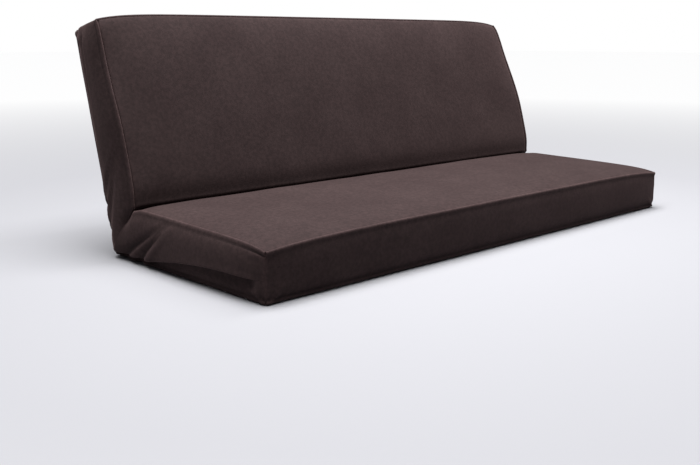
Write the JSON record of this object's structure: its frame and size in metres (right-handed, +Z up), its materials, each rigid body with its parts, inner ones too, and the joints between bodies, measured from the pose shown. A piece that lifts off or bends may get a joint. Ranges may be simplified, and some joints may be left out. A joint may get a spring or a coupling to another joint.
{
  "type": "futon mattress",
  "caption": "Full-size futon mattress in a zipped dark brown suede cover, folded across its middle as a sofa seat and back.",
  "frame": {"origin": "under the middle of the whole box, at the level of the seat's underside, with the mattress folded as a sofa", "axes": "+X along the mattress's length, towards the right end as a person facing the front sees it; +Y from the seat's front edge towards the back; +Z up"},
  "size_m": [1.905, 0.8922, 0.6948],
  "materials": {
    "suede": "matte",
    "case_canvas": "matte",
    "cotton_batting": "matte",
    "foam": "matte",
    "felt": "matte",
    "tuft_twine": "matte",
    "zipper_tape": "matte",
    "zipper_metal": "satin",
    "label": "matte"
  },
  "bodies": {
    "seat": {"seat_top_panel": "suede", "seat_underside_panel": "suede", "front_boxing": "suede", "seat_left_upper_boxing": "suede", "seat_left_lower_boxing": "suede", "seat_right_upper_boxing": "suede", "seat_right_lower_boxing": "suede", "seat_left_zipper": "zipper_tape", "seat_right_zipper": "zipper_tape", "zipper_end_stops": "zipper_metal", "seat_case_top": "case_canvas", "seat_case_underside": "case_canvas", "seat_case_border": "case_canvas", "law_label": "label", "seat_upper_batting": "cotton_batting", "seat_upper_foam": "foam", "seat_middle_batting": "cotton_batting", "seat_lower_foam": "foam", "seat_lower_batting": "cotton_batting", "seat_tuft_twines": "tuft_twine", "seat_tuft_pads": "felt"},
    "back": {"back_front_panel": "suede", "back_rear_panel": "suede", "top_front_boxing": "suede", "top_rear_boxing": "suede", "back_left_front_boxing": "suede", "back_left_rear_boxing": "suede", "back_right_front_boxing": "suede", "back_right_rear_boxing": "suede", "back_left_zipper": "zipper_tape", "back_right_zipper": "zipper_tape", "top_zipper": "zipper_tape", "back_case_front": "case_canvas", "back_case_rear": "case_canvas", "back_case_border": "case_canvas", "back_front_batting": "cotton_batting", "back_front_foam": "foam", "back_middle_batting": "cotton_batting", "back_rear_foam": "foam", "back_rear_batting": "cotton_batting", "back_tuft_twines": "tuft_twine", "back_tuft_pads": "felt"},
    "left_slider": {"left_slider": "zipper_metal"},
    "right_slider": {"right_slider": "zipper_metal"},
    "left_pull_tab": {"left_pull_tab": "zipper_metal"},
    "right_pull_tab": {"right_pull_tab": "zipper_metal"}
  },
  "joints": [
    {"name": "fold", "type": "hinge", "parent": "seat", "child": "back", "pos_m": [0, 0.23986, 0], "axis": [-1, 0, 0], "range_deg": [0, 72.5]},
    {"name": "left_slider_travel", "type": "slide", "parent": "back", "child": "left_slider", "axis": [-1, 0, 0], "range_m": [0, 0.9]},
    {"name": "right_slider_travel", "type": "slide", "parent": "back", "child": "right_slider", "axis": [1, 0, 0], "range_m": [0, 0.9]},
    {"name": "left_pull_tab_swing", "type": "hinge", "parent": "left_slider", "child": "left_pull_tab", "pos_m": [-0.008, 0.37872, 0.6732], "axis": [0, 0.9537, -0.3007], "range_deg": [0, 100]},
    {"name": "right_pull_tab_swing", "type": "hinge", "parent": "right_slider", "child": "right_pull_tab", "pos_m": [0.008, 0.37872, 0.6732], "axis": [0, -0.9537, 0.3007], "range_deg": [0, 100]}
  ]
}
